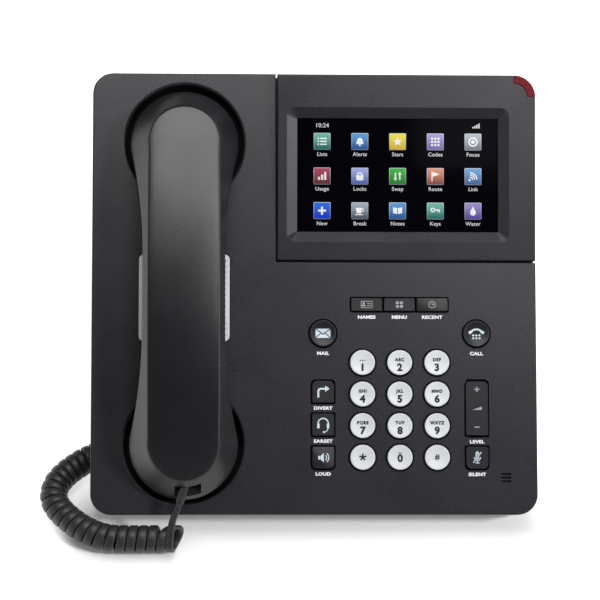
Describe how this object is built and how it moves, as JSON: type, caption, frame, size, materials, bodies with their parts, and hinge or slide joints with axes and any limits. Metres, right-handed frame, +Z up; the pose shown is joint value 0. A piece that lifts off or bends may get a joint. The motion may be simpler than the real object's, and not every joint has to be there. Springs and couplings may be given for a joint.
{
  "type": "desk ip phone",
  "caption": "Sloping desk telephone with a tilting display head, a dial pad, function keys, a cradled handset on a curly cord and a folding stand.",
  "frame": {"origin": "on the desk, under the middle of the phone's outline without its cord", "axes": "+Z up, +X to the right of the user, +Y away from the user"},
  "size_m": [0.2688, 0.2312, 0.1457],
  "materials": {
    "housing": "fine-grained dark grey",
    "pan": "fine-grained dark grey",
    "screw": "zinc plated",
    "rubber": "black",
    "grille": "pale silver",
    "black": "black",
    "board": "green laminate",
    "mat": "grey silicone",
    "glass": "black gloss",
    "panel": "plain",
    "lamp": "translucent red",
    "dial": "pale silver",
    "key": "dark grey",
    "handset": "satin dark grey",
    "capsule": "plain",
    "cord": "black"
  },
  "bodies": {
    "base": {"front_housing": "housing", "rear_pan": "pan", "case_screws": "screw", "base_feet": "rubber", "speaker_grille": "grille", "loudspeaker": "black", "handsfree_mic": "black", "main_board": "board", "key_mat": "mat", "cord_sockets": "black", "network_sockets": "black", "cord_lead": "cord", "cord_coil": "cord", "cord_tail": "cord", "base_plug": "black"},
    "display": {"display_bezel": "housing", "display_back": "pan", "display_glass": "glass", "display_panel": "panel", "display_pins": "screw", "message_lamp": "lamp"},
    "handset": {"handset_shell": "handset", "handset_cover": "handset", "ear_capsule": "capsule", "mouth_capsule": "capsule", "handset_socket": "black", "handset_plug": "black"},
    "hook": {"hook_plunger": "black"},
    "stand": {"stand": "pan", "stand_pins": "screw", "stand_pads": "rubber"},
    "key_1": {"key_1": "dial"},
    "key_2": {"key_2": "dial"},
    "key_3": {"key_3": "dial"},
    "key_4": {"key_4": "dial"},
    "key_5": {"key_5": "dial"},
    "key_6": {"key_6": "dial"},
    "key_7": {"key_7": "dial"},
    "key_8": {"key_8": "dial"},
    "key_9": {"key_9": "dial"},
    "key_star": {"key_star": "dial"},
    "key_0": {"key_0": "dial"},
    "key_hash": {"key_hash": "dial"},
    "key_names": {"key_names": "key"},
    "key_menu": {"key_menu": "key"},
    "key_recent": {"key_recent": "key"},
    "key_mail": {"key_mail": "key"},
    "key_call": {"key_call": "key"},
    "key_divert": {"key_divert": "key"},
    "key_earset": {"key_earset": "key"},
    "key_loud": {"key_loud": "key"},
    "key_silent": {"key_silent": "key"},
    "key_level": {"key_level": "key"}
  },
  "joints": [
    {"name": "handset_lift", "type": "slide", "parent": "base", "child": "handset", "axis": [0, -0.5, 0.866], "range_m": [0, 0.06]},
    {"name": "hook_rise", "type": "slide", "parent": "base", "child": "hook", "axis": [0, -0.5, 0.866], "range_m": [0, 0.004]},
    {"name": "display_tilt", "type": "hinge", "parent": "base", "child": "display", "pos_m": [0, 0.01662, 0.08633], "axis": [1, 0, 0], "range_deg": [0, 18]},
    {"name": "stand_fold", "type": "hinge", "parent": "base", "child": "stand", "pos_m": [0, 0.06028, 0.0807], "axis": [1, 0, 0], "range_deg": [-74, 0]},
    {"name": "key_1_press", "type": "slide", "parent": "base", "child": "key_1", "axis": [0, 0.5, -0.866], "range_m": [0, 0.0011], "stiffness_N_per_m": 400, "springref_m": -0.0006},
    {"name": "key_2_press", "type": "slide", "parent": "base", "child": "key_2", "axis": [0, 0.5, -0.866], "range_m": [0, 0.0011], "stiffness_N_per_m": 400, "springref_m": -0.0006},
    {"name": "key_3_press", "type": "slide", "parent": "base", "child": "key_3", "axis": [0, 0.5, -0.866], "range_m": [0, 0.0011], "stiffness_N_per_m": 400, "springref_m": -0.0006},
    {"name": "key_4_press", "type": "slide", "parent": "base", "child": "key_4", "axis": [0, 0.5, -0.866], "range_m": [0, 0.0011], "stiffness_N_per_m": 400, "springref_m": -0.0006},
    {"name": "key_5_press", "type": "slide", "parent": "base", "child": "key_5", "axis": [0, 0.5, -0.866], "range_m": [0, 0.0011], "stiffness_N_per_m": 400, "springref_m": -0.0006},
    {"name": "key_6_press", "type": "slide", "parent": "base", "child": "key_6", "axis": [0, 0.5, -0.866], "range_m": [0, 0.0011], "stiffness_N_per_m": 400, "springref_m": -0.0006},
    {"name": "key_7_press", "type": "slide", "parent": "base", "child": "key_7", "axis": [0, 0.5, -0.866], "range_m": [0, 0.0011], "stiffness_N_per_m": 400, "springref_m": -0.0006},
    {"name": "key_8_press", "type": "slide", "parent": "base", "child": "key_8", "axis": [0, 0.5, -0.866], "range_m": [0, 0.0011], "stiffness_N_per_m": 400, "springref_m": -0.0006},
    {"name": "key_9_press", "type": "slide", "parent": "base", "child": "key_9", "axis": [0, 0.5, -0.866], "range_m": [0, 0.0011], "stiffness_N_per_m": 400, "springref_m": -0.0006},
    {"name": "key_star_press", "type": "slide", "parent": "base", "child": "key_star", "axis": [0, 0.5, -0.866], "range_m": [0, 0.0011], "stiffness_N_per_m": 400, "springref_m": -0.0006},
    {"name": "key_0_press", "type": "slide", "parent": "base", "child": "key_0", "axis": [0, 0.5, -0.866], "range_m": [0, 0.0011], "stiffness_N_per_m": 400, "springref_m": -0.0006},
    {"name": "key_hash_press", "type": "slide", "parent": "base", "child": "key_hash", "axis": [0, 0.5, -0.866], "range_m": [0, 0.0011], "stiffness_N_per_m": 400, "springref_m": -0.0006},
    {"name": "key_names_press", "type": "slide", "parent": "base", "child": "key_names", "axis": [0, 0.5, -0.866], "range_m": [0, 0.0011], "stiffness_N_per_m": 400, "springref_m": -0.0006},
    {"name": "key_menu_press", "type": "slide", "parent": "base", "child": "key_menu", "axis": [0, 0.5, -0.866], "range_m": [0, 0.0011], "stiffness_N_per_m": 400, "springref_m": -0.0006},
    {"name": "key_recent_press", "type": "slide", "parent": "base", "child": "key_recent", "axis": [0, 0.5, -0.866], "range_m": [0, 0.0011], "stiffness_N_per_m": 400, "springref_m": -0.0006},
    {"name": "key_mail_press", "type": "slide", "parent": "base", "child": "key_mail", "axis": [0, 0.5, -0.866], "range_m": [0, 0.0011], "stiffness_N_per_m": 400, "springref_m": -0.0006},
    {"name": "key_call_press", "type": "slide", "parent": "base", "child": "key_call", "axis": [0, 0.5, -0.866], "range_m": [0, 0.0011], "stiffness_N_per_m": 400, "springref_m": -0.0006},
    {"name": "key_divert_press", "type": "slide", "parent": "base", "child": "key_divert", "axis": [0, 0.5, -0.866], "range_m": [0, 0.0011], "stiffness_N_per_m": 400, "springref_m": -0.0006},
    {"name": "key_earset_press", "type": "slide", "parent": "base", "child": "key_earset", "axis": [0, 0.5, -0.866], "range_m": [0, 0.0011], "stiffness_N_per_m": 400, "springref_m": -0.0006},
    {"name": "key_loud_press", "type": "slide", "parent": "base", "child": "key_loud", "axis": [0, 0.5, -0.866], "range_m": [0, 0.0011], "stiffness_N_per_m": 400, "springref_m": -0.0006},
    {"name": "key_silent_press", "type": "slide", "parent": "base", "child": "key_silent", "axis": [0, 0.5, -0.866], "range_m": [0, 0.0011], "stiffness_N_per_m": 400, "springref_m": -0.0006},
    {"name": "key_level_rock", "type": "hinge", "parent": "base", "child": "key_level", "pos_m": [0.0877, -0.05597, 0.04465], "axis": [1, 0, 0], "range_deg": [-4, 4], "stiffness_Nm_per_rad": 0.12}
  ],
  "couplings": [
    {"joint": "hook_rise", "follows": "handset_lift", "ratio": 0.0666}
  ]
}
